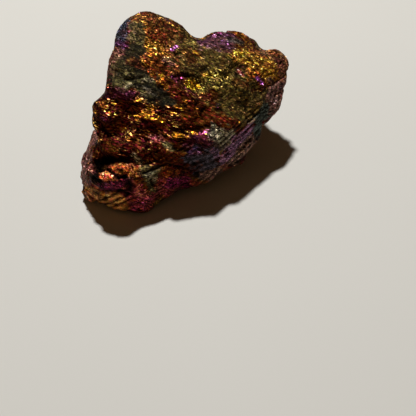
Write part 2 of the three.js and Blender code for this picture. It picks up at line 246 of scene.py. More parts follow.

# Each patch lies over those before it. The near-black patches are painted shade in cracks, holes
# and under ledges.
PATCHES = (
    # The front face, dark maroon with gold treads.
    Patch(T.MAROON, ((105, 105), (150, 108), (175, 112)), 9),
    Patch(T.MAROON, ((110, 130), (150, 132), (180, 138)), 9),
    Patch(T.MAROON, ((105, 150), (150, 155), (185, 160)), 8),
    Patch(T.EMBER, ((195, 116), (212, 118), (232, 116)), 5),
    Patch(T.EMBER, ((165, 155), (185, 158)), 4, 0.8),
    Patch(T.EMBER, ((100, 148), (108, 150)), 3, 0.8),
    Patch(T.EMBER, ((110, 124), (120, 127)), 2.5, 0.7),
    Patch(T.GOLD, ((139, 115), (149, 116), (160, 120)), 1.7, 0.85),
    Patch(T.GOLD, ((175, 135), (186, 138)), 1.1),
    Patch(T.GOLD, ((173, 101), (185, 102)), 0.8, 0.8),
    Patch(T.GOLD, ((177, 106), (183, 108)), 0.7),
    Patch(T.GOLD, ((129, 102), (140, 100)), 0.5, 0.8),
    Patch(T.PAINTED_SHADE, ((133, 98), (142, 96)), 1.0, 0.6),
    Patch(T.GOLD, ((128, 112), (131, 115)), 0.8, 0.7),
    Patch(T.GOLD, ((121, 126), (127, 128)), 0.6, 0.7),
    Patch(T.GOLD, ((148, 107), (153, 109)), 0.9, 0.8),
    Patch(T.GOLD, ((193, 133), (199, 134)), 0.8),
    Patch(T.BRONZE, ((101, 102), (104, 106)), 0.9, 0.5),
    Patch(T.BRONZE, ((93, 109), (96, 114)), 0.9, 0.6),
    Patch(T.BRONZE, ((105, 112), (110, 114)), 0.7, 0.8),
    Patch(T.PURPLE, ((103, 118), (109, 121)), 1.3, 0.6),
    Patch(T.GOLD, ((113, 103), (120, 106)), 0.5, 0.7),
    Patch(T.GOLD, ((134, 107), (139, 109)), 0.5, 0.7),
    Patch(T.GOLD, ((170, 112), (176, 114)), 0.5, 0.6),
    Patch(T.GOLD, ((144, 129), (150, 131)), 0.5, 0.6),
    Patch(T.GOLD, ((124, 137), (131, 140)), 0.5, 0.6),
    Patch(T.GOLD, ((163, 126), (169, 128)), 0.5, 0.6),
    Patch(T.PINK, ((152, 137), (161, 140)), 1.3, 0.7),
    Patch(T.PALE_MATRIX, ((165, 144), (171, 148)), 1.2, 0.7),
    Patch(T.PALE_MATRIX, ((134, 155), (140, 162)), 0.9, 0.7),
    Patch(T.GANGUE, ((133, 155), (140, 163)), 0.9, 0.5),
    # The cap.
    Patch(T.SPECKLE, ((140, 25), (160, 35), (170, 55)), 9),
    Patch(T.BRONZE, ((143, 30), (150, 42), (158, 53)), 3.4, 0.6),
    Patch(T.BRASS, ((146, 42), (158, 50)), 2.2, 0.4),
    Patch(T.GOLD, ((146, 46), (152, 54)), 1.6, 0.5),
    Patch(T.SALMON, ((159, 33), (163, 38)), 1.5, 0.6),
    Patch(T.SALMON, ((161, 56), (165, 60)), 1.2, 0.5),
    Patch(T.EMBER, ((158, 68), (166, 84), (176, 96)), 3.4, 0.8),
    Patch(T.BRONZE, ((148, 66), (153, 76), (160, 86)), 2.6, 0.7),
    Patch(T.GOLD, ((157, 75), (163, 78)), 0.7),
    Patch(T.GOLD, ((161, 85), (168, 91)), 0.7, 0.8),
    Patch(T.ORCHID, ((172, 50), (176, 47)), 0.75),
    Patch(T.ORCHID, ((177, 46), (181, 43)), 0.85),
    Patch(T.SLATE, ((188, 44), (194, 48)), 1.8, 0.5),
    Patch(T.SLATE, ((166, 60), (172, 63)), 1.2, 0.4),
    Patch(T.BLUE, ((121, 23), (121, 38)), 2.4),
    Patch(T.DAMSON, ((119, 30), (124, 34)), 0.8, 0.5),
    Patch(T.INDIGO, ((119, 43), (124, 47)), 1.7, 0.8),
    Patch(T.DAMSON, ((129, 24), (130, 36), (126, 47)), 0.8, 0.8),
    Patch(T.PALE_MATRIX, ((137, 28), (138, 48)), 2.6, 0.85),
    Patch(T.MATRIX, ((136, 50), (128, 58), (122, 66)), 2.4, 0.9),
    Patch(T.MATRIX, ((118, 72), (132, 74), (144, 84)), 4.6),
    Patch(T.MATRIX, ((150, 88), (164, 99)), 3.0),
    Patch(T.BRICK, ((118, 53), (112, 68), (104, 86)), 2.2, 0.9),
    Patch(T.PALE_MATRIX, ((119, 66), (126, 75)), 3.0, 0.6),
    Patch(T.PALE_MATRIX, ((115, 84), (124, 90), (131, 85)), 1.0),
    Patch(T.PALE_MATRIX, ((133, 81), (144, 80), (154, 82)), 0.8),
    Patch(T.PALE_MATRIX, ((138, 90), (150, 95)), 0.9, 0.8),
    Patch(T.GANGUE, ((123, 91), (130, 85)), 0.7, 0.5),
    Patch(T.GANGUE, ((144, 80), (153, 80)), 0.6, 0.4),
    Patch(T.GANGUE, ((150, 93), (156, 96)), 0.5, 0.3),
    Patch(T.PAINTED_SHADE, ((141, 86), (151, 88)), 0.8, 0.6),
    Patch(T.PAINTED_SHADE, ((146, 90), (160, 97)), 2.2, 0.25),
    Patch(T.GANGUE, ((143, 87), (150, 90)), 0.5, 0.3),
    Patch(T.PAINTED_SHADE, ((124, 78), (130, 76)), 0.7, 0.15),
    Patch(T.PAINTED_SHADE, ((128, 79), (140, 77)), 0.6, 0.25),
    Patch(T.PAINTED_SHADE, ((150, 98), (160, 102)), 1.4, 0.6),
    Patch(T.PAINTED_SHADE, ((142, 65), (148, 68)), 0.9, 0.6),
    Patch(T.EMBER, ((129, 61), (138, 65)), 1.4, 0.7),
    Patch(T.DAMSON, ((108, 92), (122, 94), (134, 93)), 1.8, 0.9),
    # The top of the right-hand mass.
    Patch(T.OLIVE, ((200, 55), (225, 65), (235, 90)), 9),
    Patch(T.EMBER, ((186, 52), (192, 60)), 2.0, 0.6),
    Patch(T.GOLD, ((195, 53), (199, 56)), 1.0, 0.7),
    Patch(T.LEMON, ((200, 84), (210, 82), (222, 78)), 4.2),
    Patch(T.SULPHUR, ((189, 81), (196, 86)), 1.5),
    Patch(T.SULPHUR, ((204, 74), (210, 76)), 1.2, 0.5),
    Patch(T.EMBER, ((236, 82), (247, 86)), 1.6, 0.6),
    Patch(T.EMBER, ((205, 95), (216, 98)), 1.4, 0.5),
    Patch(T.BRONZE, ((236, 52), (256, 56)), 3.0, 0.8),
    Patch(T.BRASS, ((236, 54), (258, 60)), 3.0),
    Patch(T.VIOLET, ((204, 42), (218, 42), (228, 46)), 3.2),
    Patch(T.INDIGO, ((202, 36), (216, 34), (231, 35)), 0.9, 0.6),
    Patch(T.INDIGO, ((223, 42), (229, 45)), 1.0, 0.5),
    Patch(T.TEAL, ((232, 40), (241, 42)), 1.6, 0.5),
    Patch(T.BRONZE, ((240, 34), (249, 42), (250, 48)), 2.0, 0.9),
    Patch(T.PAINTED_SHADE, ((216, 49), (230, 49)), 0.6, 0.5),
    Patch(T.SULPHUR, ((240, 54), (246, 56)), 1.3),
    Patch(T.SULPHUR, ((251, 54), (255, 56)), 1.0),
    Patch(T.BRONZE, ((258, 66), (270, 72), (272, 82)), 4.4),
    Patch(T.BRASS, ((254, 60), (268, 66), (272, 78)), 3.6, 0.9),
    Patch(T.SPECKLE, ((250, 50), (262, 60)), 2.0, 0.6),
    Patch(T.EMBER, ((262, 62), (272, 66), (279, 74)), 1.2, 0.6),
    Patch(T.SULPHUR, ((264, 72), (273, 74)), 1.5, 0.6),
    Patch(T.RUSSET, ((268, 52), (284, 60), (286, 72)), 3.2, 0.9),
    Patch(T.SALMON, ((269, 51), (275, 53)), 1.4, 0.7),
    Patch(T.PINK, ((278, 62), (282, 66)), 1.0, 0.5),
    Patch(T.ORCHID, ((257, 78), (262, 83)), 0.6),
    Patch(T.PINK, ((238, 69), (242, 75)), 0.8),
    Patch(T.PURPLE, ((173, 77), (183, 77)), 1.2, 0.8),
    Patch(T.PAINTED_SHADE, ((184, 75), (195, 77)), 1.0, 0.8),
    Patch(T.PAINTED_SHADE, ((247, 59), (251, 60)), 0.9, 0.8),
    # The right-hand side and its lower edge.
    Patch(T.LILAC, ((276, 90), (272, 108)), 4.2),
    Patch(T.OLIVE, ((240, 105), (258, 112)), 5, 0.8),
    Patch(T.PALE_MATRIX, ((216, 135), (230, 142)), 3.6),
    Patch(T.GANGUE, ((216, 134), (229, 142)), 3.2),
    Patch(T.PURPLE, ((200, 134), (208, 131)), 0.9, 0.8),
    Patch(T.PLUM, ((250, 130), (232, 148)), 3.4),
    Patch(T.PLUM, ((222, 161), (229, 158)), 1.5, 0.9),
    Patch(T.OLIVE, ((243, 123), (256, 115)), 1.5, 0.8),
    Patch(T.DAMSON, ((190, 144), (204, 141), (216, 150)), 2.8, 0.8),
    Patch(T.INDIGO, ((216, 152), (226, 146)), 1.0, 0.6),
    Patch(T.SLATE, ((196, 158), (210, 158), (206, 170)), 3.6),
    Patch(T.INDIGO, ((191, 152), (198, 152)), 1.4, 0.7),
    Patch(T.PAINTED_SHADE, ((196, 164), (203, 160)), 0.9, 0.6),
    Patch(T.PLUM, ((213, 152), (219, 158)), 1.2, 0.6),
    Patch(T.PAINTED_SHADE, ((196, 176), (206, 172)), 1.0, 0.8),
    Patch(T.TEAL, ((264, 112), (259, 121), (257, 131)), 2.8),
    Patch(T.MAUVE, ((255, 145), (232, 163), (208, 178)), 3.2),
    Patch(T.SALMON, ((224, 166), (228, 169)), 1.5, 0.6),
    # The foot.
    Patch(T.HEATHER, ((92, 135), (86, 160), (84, 180)), 3.2),
    Patch(T.CORAL, ((103, 174), (114, 177)), 2.4, 0.9),
    Patch(T.SALMON, ((112, 166), (126, 168), (140, 173)), 2.4, 0.8),
    Patch(T.PINK, ((91, 166), (96, 174)), 1.2),
    Patch(T.PAINTED_SHADE, ((97, 164), (104, 160), (111, 160)), 1.4, 0.9),
    Patch(T.PAINTED_SHADE, ((112, 160), (124, 160), (132, 163)), 0.7, 0.7),
    Patch(T.PAINTED_SHADE, ((99, 169), (107, 166)), 1.3, 0.8),
    # Painted highlight on the boulder.
    Patch(T.PAINTED_HIGHLIGHT, ((102, 174), (107, 177)), 0.7, 0.3),
    Patch(T.PURPLE, ((104, 185), (125, 182)), 2.6),
    Patch(T.MAGENTA, ((104, 182), (109, 186)), 0.9, 0.6),
    Patch(T.MAGENTA, ((112, 187), (116, 188)), 0.8, 0.6),
    Patch(T.WINE, ((133, 192), (138, 200), (148, 203)), 3.8),
    Patch(T.PAINTED_SHADE, ((127, 178), (129, 190)), 1.3, 0.7),
    Patch(T.BRONZE, ((132, 175), (136, 182)), 1.3, 0.6),
    Patch(T.PINK, ((131, 179), (133, 182)), 0.6, 0.8),
    Patch(T.MAGENTA, ((135, 206), (148, 200)), 2.0, 0.5),
    Patch(T.PALE_MATRIX, ((147, 172), (153, 178), (153, 188)), 2.2, 0.9),
    Patch(T.GANGUE, ((148, 174), (154, 180)), 1.2, 0.4),
    Patch(T.PALE_MATRIX, ((156, 168), (162, 170)), 1.0, 0.5),
    Patch(T.SALMON, ((164, 172), (174, 174)), 2.0, 0.6),
    Patch(T.WINE, ((162, 184), (168, 192)), 2.4, 0.7),
    Patch(T.MAGENTA, ((172, 182), (190, 184)), 2.6),
    Patch(T.TOE, ((88, 195), (105, 200), (118, 203)), 3.4),
    Patch(T.PINK, ((84, 191), (92, 198)), 1.4, 0.6),
    Patch(T.PAINTED_SHADE, ((97, 193), (105, 199)), 1.0, 0.8),
    Patch(T.PAINTED_SHADE, ((80, 186), (84, 193)), 0.7, 0.9),
    Patch(T.PAINTED_SHADE, ((106, 206), (118, 199)), 0.5, 0.8),
    Patch(T.PAINTED_SHADE, ((106, 190), (116, 190)), 0.5, 0.7),
    Patch(T.SALMON, ((94, 185), (99, 189)), 1.0, 0.7),
    # Painted highlights on the ledges of the toe.
    Patch(T.PAINTED_HIGHLIGHT, ((104, 197), (109, 193)), 0.6),
    Patch(T.PAINTED_HIGHLIGHT, ((109, 198), (114, 194)), 0.5),
    Patch(T.PAINTED_HIGHLIGHT, ((111, 205), (124, 198)), 0.5),
    Patch(T.PAINTED_HIGHLIGHT, ((111, 207), (119, 205)), 0.4, 0.8),
    Patch(T.PAINTED_HIGHLIGHT, ((85, 190), (88, 198)), 0.5),
    Patch(T.PAINTED_HIGHLIGHT, ((91, 203), (97, 205)), 0.4, 0.7),
    Patch(T.PAINTED_SHADE, ((92, 178), (99, 182)), 2.0),
    Patch(T.PAINTED_SHADE, ((108, 170), (113, 174), (119, 177)), 0.6),
    Patch(T.PAINTED_SHADE, ((100, 182), (102, 190)), 0.6, 0.8),
    Patch(T.PAINTED_SHADE, ((116, 177), (126, 175)), 0.6, 0.8),
    Patch(T.PAINTED_SHADE, ((129, 178), (132, 189)), 0.8, 0.8),
    Patch(T.PAINTED_SHADE, ((119, 191), (128, 195)), 0.8, 0.8),
    Patch(T.PAINTED_SHADE, ((151, 180), (154, 186)), 0.6, 0.8),
    Patch(T.BRONZE, ((192, 182), (204, 184)), 1.6, 0.7),
    Patch(T.LEMON, ((154, 205), (160, 200)), 0.9, 0.8),
)

CUTS = (
    # Cracks, pits and undercuts.
    Cut(((144, 173), (164, 165), (178, 167), (200, 174)), 0.6, 1.0),
    Cut(((187, 159), (200, 168)), 0.5, 0.7),
    Cut(((187, 129), (198, 129), (210, 125)), 0.6, 0.6),
    Cut(((173, 77), (182, 75), (190, 77)), 0.6, 0.5),
    Cut(((202, 70), (208, 67)), 0.8, 0.8),
    Cut(((230, 170), (245, 158)), 0.7, 0.9),
    Cut(((101, 128), (107, 132)), 0.8, 0.9),
    Cut(((96, 162), (104, 160), (110, 160)), 1.3, 1.4),
    Cut(((96, 170), (102, 170)), 1.0, 1.4),
    Cut(((112, 161), (121, 160), (129, 162)), 0.6, 0.8),
    Cut(((92, 178), (99, 182)), 1.2, 1.7),
    Cut(((108, 170), (113, 174), (119, 177)), 0.5, 0.9),
    Cut(((108, 181), (117, 178), (125, 176)), 0.5, 0.9),
    Cut(((126, 176), (129, 187)), 0.7, 0.9),
    Cut(((120, 191), (130, 195)), 0.8, 0.9),
    Cut(((102, 190), (106, 197)), 0.6, 0.9),
    Cut(((96, 204), (116, 205)), 0.5, 0.8),
    Cut(((151, 180), (154, 186)), 0.5, 0.9),
    Cut(((175, 148), (190, 151)), 0.8, 0.7),
    Cut(((170, 130), (186, 134)), 0.5, 0.6),
    Cut(((82, 187), (84, 190)), 0.5, 0.8),
    Cut(((126, 80), (140, 78), (148, 74)), 0.5, 0.4),
    Cut(((133, 84), (146, 84), (158, 88)), 0.5, 0.4),
    Cut(((142, 65), (148, 68)), 0.7, 0.6),
    # Knobs and ribs.
    Cut(((115, 84), (124, 90), (131, 85)), 0.6, -0.4),
    Cut(((89, 164), (91, 171), (97, 176)), 0.7, -0.7),
    Cut(((112, 168), (127, 168)), 1.5, -0.7),
    Cut(((103, 175), (112, 176)), 1.3, -0.9),
    Cut(((104, 185), (118, 184)), 1.8, -1.1),
    Cut(((86, 190), (92, 200)), 0.6, -0.6),
    Cut(((99, 198), (111, 193)), 0.9, -0.9),
    Cut(((111, 204), (124, 198)), 0.7, -0.8),
    Cut(((134, 190), (146, 196)), 1.6, -0.7),
    Cut(((168, 176), (186, 180)), 1.0, -0.7),
    Cut(((136, 116), (150, 118), (162, 122)), 0.9, -0.5),
    Cut(((174, 137), (188, 139)), 0.8, -0.5),
)

STRIAE = (
    Striae(((205, 180), (235, 158), (266, 128)), 5.0, 1.3, 0.6, 0.7),
    Striae(((192, 166), (222, 150)), 4, 1.5, 0.5, 0.75),
    Striae(((226, 146), (250, 124)), 4, 1.2, 0.5, 0.8),
    Striae(((272, 86), (266, 118)), 4.0, 1.2, 0.2, 0.25),
    Striae(((84, 185), (98, 140)), 4.5, 0.9, 0.4, 0.5),
    Striae(((160, 168), (185, 152)), 3.5, 1.2, 0.4, 0.4),
    Striae(((101, 208), (121, 196)), 4.5, 1.7, 0.4, 0.95),
    Striae(((83, 192), (94, 202)), 3.0, 1.1, 0.3, 0.9),
    Striae(((112, 62), (107, 84)), 2.5, 1.0, 0.2, 0.5),
)


def read_noise(sample: Callable[[Vector], float], points: np.ndarray) -> np.ndarray:
    """Reads a noise at many points.

    Args:
        sample: the noise at one point.
        points: one point to a row.

    Returns:
        One value for each point.
    """
    return np.fromiter((sample(Vector(point)) for point in points), float, len(points))


@dataclass(frozen=True)
class Cloud:
    """Soft noise with lumps of one size."""

    size: float  # how wide the lumps are
    seed: float  # moves the pattern
    low: float = -1.0  # the noise at which its share is 0
    high: float = 1.0  # the noise at which its share is 1

    def values(self, points: np.ndarray) -> np.ndarray:
        """The noise at each point, from about -1 to 1."""
        return read_noise(noise.noise, points / self.size + self.seed)

    def share(self, points: np.ndarray) -> np.ndarray:
        """How far the noise has risen from low to high at each point, from 0 to 1."""
        return smoothstep(self.low, self.high, self.values(points))


@dataclass(frozen=True)
class Ledges:
    """Natural steps that face the cleavage."""

    pitch: float
    depth: float
    stray: Cloud  # how they wander, in half pitches
    where: Cloud  # where there are any
    riser: float = 0.82  # the share of the pitch that is riser, where the rest is tread

    def heights(self, points: np.ndarray) -> np.ndarray:
        """How far the ledges stand out at each point.

        Args:
            points: one point to a row.

        Returns:
            Heights in millimetres.
        """
        level = points @ np.array(CLEAVAGE)
        phase = np.mod(level / self.pitch + 0.5 * self.stray.values(points), 1)
        rising, falling = phase / self.riser, (1 - phase) / (1 - self.riser)
        return self.depth * self.where.share(points) * (np.minimum(rising, falling) - 0.5)


@dataclass(frozen=True)
class Chips:
    """Small flat faces, each tipped its own way about its own middle."""

    size: float  # how wide a face is
    tilt: float  # how far it tips, rise over run
    seed: float
    spread: float = 7.3  # parts their middles, so that each draws a tip of its own

    def heights(self, points: np.ndarray) -> np.ndarray:
        """How far the faces stand out at each point.

        Args:
            points: one point to a row.

        Returns:
            Heights in millimetres.
        """

        def chip(point: Vector) -> float:
            """The height at a point of the face that it lies on, where a face is 1 wide."""
            middle = noise.voronoi(point)[1][0]
            return (point - middle).dot(noise.cell_vector(middle * self.spread) - HALF)

        return self.size * self.tilt * read_noise(chip, points / self.size + self.seed)


# Options of the nodes: first the sums that Math and VectorMath do.
PLUS = {"operation": "ADD"}
MINUS = {"operation": "SUBTRACT"}
TIMES = {"operation": "MULTIPLY"}
TIMES_PLUS = {"operation": "MULTIPLY_ADD"}
OVER = {"operation": "DIVIDE"}
POWER = {"operation": "POWER"}
LOWEST = {"operation": "MINIMUM"}
HIGHEST = {"operation": "MAXIMUM"}
FRACTION = {"operation": "FRACT"}
PINGPONG = {"operation": "PINGPONG"}
ABOVE = {"operation": "GREATER_THAN"}
BELOW = {"operation": "LESS_THAN"}
DOT = {"operation": "DOT_PRODUCT"}
SCALE = {"operation": "SCALE"}
OF_COLOURS = {"data_type": "RGBA"}
OF_NUMBERS = {"data_type": "FLOAT"}
SOFTLY = {"interpolation_type": "SMOOTHSTEP"}


def add(tree: Tree, kind: str, settings: dict[str, str] | None = None, **links: object) -> Node:
    """Adds a node with its settings and links.

    Args:
        tree: the material's nodes.
        kind: the node's type, less its prefix ShaderNode.
        settings: what the node's own options are set to.
        **links: what goes into each input, by its name with _ for a space or as i0, i1, ...: an
            output socket, a node, whose first output is meant, or a value.

    Returns:
        The node.
    """
    node = tree.nodes.new("ShaderNode" + kind)
    for key, value in (settings or {}).items():
        setattr(node, key, value)
    for key, value in links.items():
        index = int(key[1:]) if key[0] == "i" and key[1:].isdigit() else key.replace("_", " ")
        socket = node.inputs[index]
        if isinstance(value, Node):
            value = value.outputs[0]
        if isinstance(value, Socket):
            tree.links.new(value, socket)
        else:
            socket.default_value = value
    return node


@dataclass(frozen=True)
class Flake:
    """Flat cells of the ore that each tip their own way."""

    size: Triple  # along the strike, across it, and thick
    tip: float  # how far one side of a cell may stand out over the other


@dataclass(frozen=True)
class TarnishedBornite:
    """Bornite broken along its cleavage and tarnished in air, which gives a metal of many colours.

    The eye sees small plates that lie with the cleavage, each tarnished a little differently and
    tipped a little, so that some of them flash, and the treads that face the cleavage take a
    painted highlight colour. Dull grey-green matrix lies between them. The real grains, fibres and
    steps are about a tenth of a millimetre. That is too fine to show, so they are drawn as coarse
    as they need to be.
    """

    plate: Flake = Flake((1.5, 0.36, 0.2), 0.08)
    grain: Flake = Flake((0.51, 0.36, 0.26), 0.36)
    dash: Flake = Flake((0.84, 0.42, 0.3), 0.44)  # the grains of the dark front, long and thin
    fibre: Triple = (2.5, 1.111, 0.3571)  # along the strike, across it, and thick
    crowd: float = 2.857  # how wide the places are where more of the plates flash, or fewer
    crowding: float = 0.15  # what share of them more or fewer
    step_pitch: float = 0.36  # from one fine cleavage step to the next
    step_depth: float = 0.1  # of its pitch
    flash_depth: float = 0.95  # how much deeper it is on a plate that flashes
    level_depth: float = 0.2  # the share that is left where a face lies along the cleavage
    level: Span = (0.97, 0.8)  # how squarely such a face looks along it: most, and least
    steepest: float = 0.25  # steps grow no deeper than on a face that looks along it this little
    wander: float = 2.5  # how many pitches the steps stray
    wander_size: float = 2.222
    tread: float = 0.15  # the share of a step that is tread
    flash_tread: float = 0.4  # how much more of it is where every plate flashes
    square: Span = (0.7, 0.97)  # how squarely a tread looks along the cleavage: least, and most
    hues: Span = (0.45, 0.545)  # from plate to plate, where 0.5 leaves the hue as it is
    rarity: float = 2.5  # the higher it is, the fewer grains are bright
    grain_values: Span = (-0.5, 1.4)  # what a grain adds to its brightness of 1
    plate_values: Span = (0.4, 1.4)
    fibre_values: Span = (0.3, 1.7)
    darkest: float = 0.08
    calm: float = 0.6  # how far ribs quieten the grains on them
    gloss: float = 0.2  # how much smoother a tread is than the rest
    wear: float = 0.12  # how much rougher the rest is than its tone
    dusty: float = 0.25  # the matrix is dusty and hardly shines

    def build(self) -> bpy.types.Material:
        """Makes the material.

        Returns:
            The material.
        """
        material = bpy.data.materials.new("tarnished_bornite")
        material.use_nodes = True
        tree = material.node_tree
        tree.nodes.clear()
        metres = add(tree, "TexCoord").outputs["Object"]
        place = add(tree, "Mapping", Vector=metres, Scale=(1 / MM,) * 3)
        turned = add(tree, "Mapping", Vector=place, Rotation=Matrix(GRAIN).to_euler())
        ore = {
            name: add(tree, "Attribute", {"attribute_name": name}).outputs["Fac"]
            for name in TRAITS + FROM_RELIEF
        }
        body, glint = (add(tree, "Attribute", {"attribute_name": name}) for name in COLOURS)

        # Plates, and the long or short grains on them.
        plate_rise, plate_draw = self.flakes(tree, turned, self.plate)
        grain_rise, grain_draw = self.flakes(tree, turned, self.grain)
        dash_rise, dash_draw = self.flakes(tree, turned, self.dash)
        dashed = add(tree, "Math", ABOVE, i0=ore["dash"], i1=0.5)
        rise = add(tree, "Mix", OF_NUMBERS, Factor=dashed, i2=grain_rise, i3=dash_rise)
        rise = add(tree, "Math", TIMES, i0=rise, i1=ore["grit"])
        either = add(tree, "Mix", OF_COLOURS, Factor=dashed, i6=grain_draw, i7=dash_draw)
        luck = add(tree, "SeparateColor", i0=plate_draw)
        chance = add(tree, "SeparateColor", i0=either.outputs[2])

        # Some plates have deep steps, whose treads flash and take the painted highlight colour.
        # Noise keeps near 0.5 and is stretched.
        crowd = add(tree, "TexNoise", Vector=place, Scale=1 / self.crowd, Detail=2.0)
        more = add(
            tree, "MapRange", Value=crowd, From_Min=0.35, From_Max=0.65,
            To_Min=-self.crowding, To_Max=self.crowding,
        )
        odds = add(tree, "Math", PLUS, i0=ore["flash"], i1=more)
        chosen = add(tree, "Math", BELOW, i0=luck.outputs[0], i1=odds)
        height = add(tree, "Math", PLUS, i0=plate_rise, i1=rise)
        steps = self.steps(tree, turned, ore["flash"], chosen)
        height = add(tree, "Math", PLUS, i0=height, i1=steps)
        bump = add(tree, "Bump", Strength=1.0, Distance=MM, Height=height)
        facing = add(tree, "VectorMath", DOT, i0=bump, i1=tuple(CLEAVAGE)).outputs["Value"]
        low, high = self.square
        tread = add(tree, "MapRange", SOFTLY, Value=facing, From_Min=low, From_Max=high)
        share = add(tree, "Math", TIMES, i0=tread, i1=chosen)

        # The hue drifts, two parts by the plate and one by the grain, and so does the brightness.
        # Treads that face the cleavage, near where the key light glances to the camera, take the
        # glint colour: a painted highlight.
        colour = add(tree, "Mix", OF_COLOURS, Factor=share, i6=body, i7=glint).outputs[2]
        drift = add(tree, "Math", TIMES_PLUS, i0=luck.outputs[1], i1=2.0, i2=chance.outputs[1])
        low, high = self.hues
        hue = add(tree, "MapRange", Value=drift, From_Max=3.0, To_Min=low, To_Max=high)
        value = self.brightness(tree, turned, ore, luck.outputs[2], chance.outputs[0])
        varied = add(tree, "HueSaturation", Hue=hue, Value=value, Color=colour)
        # The painted shade in hollows and painted highlight on proud places scale the colour.
        shaded = add(tree, "VectorMath", SCALE, i0=varied, Scale=ore["shade"])
        rougher = add(tree, "Math", TIMES_PLUS, i0=share, i1=-self.gloss, i2=self.wear)
        roughness = add(tree, "Math", PLUS, i0=ore["rough"], i1=rougher)
        surface = add(
            tree, "BsdfPrincipled", Base_Color=shaded, Metallic=ore["metal"], Roughness=roughness,
            Normal=bump, Specular_IOR_Level=self.dusty,
        )
        add(tree, "OutputMaterial", Surface=surface)
        return material

    def flakes(self, tree: Tree, turned: Node, flake: Flake) -> tuple[Node, Socket]:
        """Breaks the ore into flat cells that each tip their own way.

        Args:
            tree: the material's nodes.
            turned: the place in the cleavage's own axes.
            flake: the cells.

        Returns:
            How far they stand out, and three numbers drawn for each cell, as a colour.
        """
        at = add(tree, "Mapping", Vector=turned, Scale=tuple(1 / length for length in flake.size))
        cells = add(tree, "TexVoronoi", Vector=at, Scale=1.0)
        away = add(tree, "VectorMath", MINUS, i0=at, i1=cells.outputs["Position"])
        lean = add(tree, "VectorMath", MINUS, i0=cells.outputs["Color"], i1=HALF)
        slope = add(tree, "VectorMath", DOT, i0=away, i1=lean).outputs["Value"]
        return add(tree, "Math", TIMES, i0=slope, i1=flake.tip), cells.outputs["Color"]

    def steps(self, tree: Tree, turned: Node, flash: Socket, chosen: Node) -> Node:
        """Cuts fine steps along the cleavage, which are faint where a face already lies along it.

        Args:
            tree: the material's nodes.
            turned: the place in the cleavage's own axes.
            flash: the share of the plates that flash.
            chosen: 1 on a plate that flashes and 0 on the rest.

        Returns:
            How far the steps stand out.
        """
        stray = add(tree, "TexNoise", Vector=turned, Scale=1 / self.wander_size, Detail=3.0)
        wander = add(tree, "Math", TIMES, i0=stray, i1=self.wander)
        up = add(tree, "SeparateXYZ", Vector=turned).outputs["Z"]
        level = add(tree, "Math", TIMES_PLUS, i0=up, i1=1 / self.step_pitch, i2=wander)
        phase = add(tree, "Math", FRACTION, i0=level)
        tread = add(tree, "Math", TIMES_PLUS, i0=flash, i1=self.flash_tread, i2=self.tread)
        riser = add(tree, "Math", MINUS, i0=1.0, i1=tread)
        climb = add(tree, "Math", OVER, i0=tread, i1=riser)
        rising = add(tree, "Math", TIMES, i0=phase, i1=climb)
        falling = add(tree, "Math", MINUS, i0=1.0, i1=phase)
        step = add(tree, "Math", LOWEST, i0=rising, i1=falling)
        plain = add(tree, "NewGeometry").outputs["Normal"]
        facing = add(tree, "VectorMath", DOT, i0=plain, i1=tuple(CLEAVAGE)).outputs["Value"]
        most, least = self.level
        steep = add(
            tree, "MapRange", Value=facing, From_Min=most, From_Max=least, To_Min=self.level_depth
        )
        leaning = add(tree, "Math", HIGHEST, i0=facing, i1=self.steepest)
        longer = add(tree, "Math", OVER, i0=steep, i1=leaning)
        deep, shallow = self.flash_depth * self.step_pitch, self.step_depth * self.step_pitch
        depth = add(tree, "Math", TIMES_PLUS, i0=chosen, i1=deep, i2=shallow)
        depth = add(tree, "Math", TIMES, i0=depth, i1=longer)
        return add(tree, "Math", TIMES, i0=step, i1=depth)

    def brightness(
        self, tree: Tree, turned: Node, ore: dict[str, Socket], luck: Socket, chance: Socket
    ) -> Node:
        """Makes plates, grains and fibres differ in brightness, and paints shade in the furrows
        and highlight on the ribs.

        Args:
            tree: the material's nodes.
            turned: the place in the cleavage's own axes.
            ore: the traits of the ore at each place.
            luck: a number drawn for each plate.
            chance: a number drawn for each grain.

        Returns:
            How bright each place is, where 1 leaves its colour as it is.
        """
        rare = add(tree, "Math", POWER, i0=chance, i1=self.rarity)
        low, high = self.grain_values
        grain = add(tree, "MapRange", Value=rare, To_Min=low, To_Max=high)
        grain = add(tree, "Math", TIMES_PLUS, i0=grain, i1=ore["speck"], i2=1.0)
        value = add(tree, "Math", HIGHEST, i0=grain, i1=self.darkest)
        low, high = self.plate_values
        plate = add(tree, "MapRange", Value=luck, To_Min=low, To_Max=high)
        value = add(tree, "Math", TIMES, i0=value, i1=plate)
        at = add(tree, "Mapping", Vector=turned, Scale=tuple(1 / length for length in self.fibre))
        fibre = add(tree, "TexNoise", Vector=at, Scale=1.0, Detail=1.0)
        low, high = self.fibre_values
        fibre = add(
            tree, "MapRange", Value=fibre, From_Min=0.3, From_Max=0.7, To_Min=low, To_Max=high
        )
        value = add(tree, "Math", TIMES, i0=value, i1=fibre)

        # Painted highlight on the ribs and painted shade in the furrows, up to 1 more and less,
        # and grains are quieter on them.
        quiet = add(tree, "Math", TIMES_PLUS, i0=ore["furrows"], i1=-self.calm, i2=1.0)
        value = add(tree, "Math", POWER, i0=value, i1=quiet)
        rib = add(tree, "Math", PINGPONG, i0=ore["turns"], i1=0.5)
        rib = add(tree, "Math", TIMES_PLUS, i0=rib, i1=4.0, i2=-1.0)
        ribbed = add(tree, "Math", TIMES_PLUS, i0=rib, i1=ore["furrows"], i2=1.0)
        return add(tree, "Math", TIMES, i0=value, i1=ribbed)


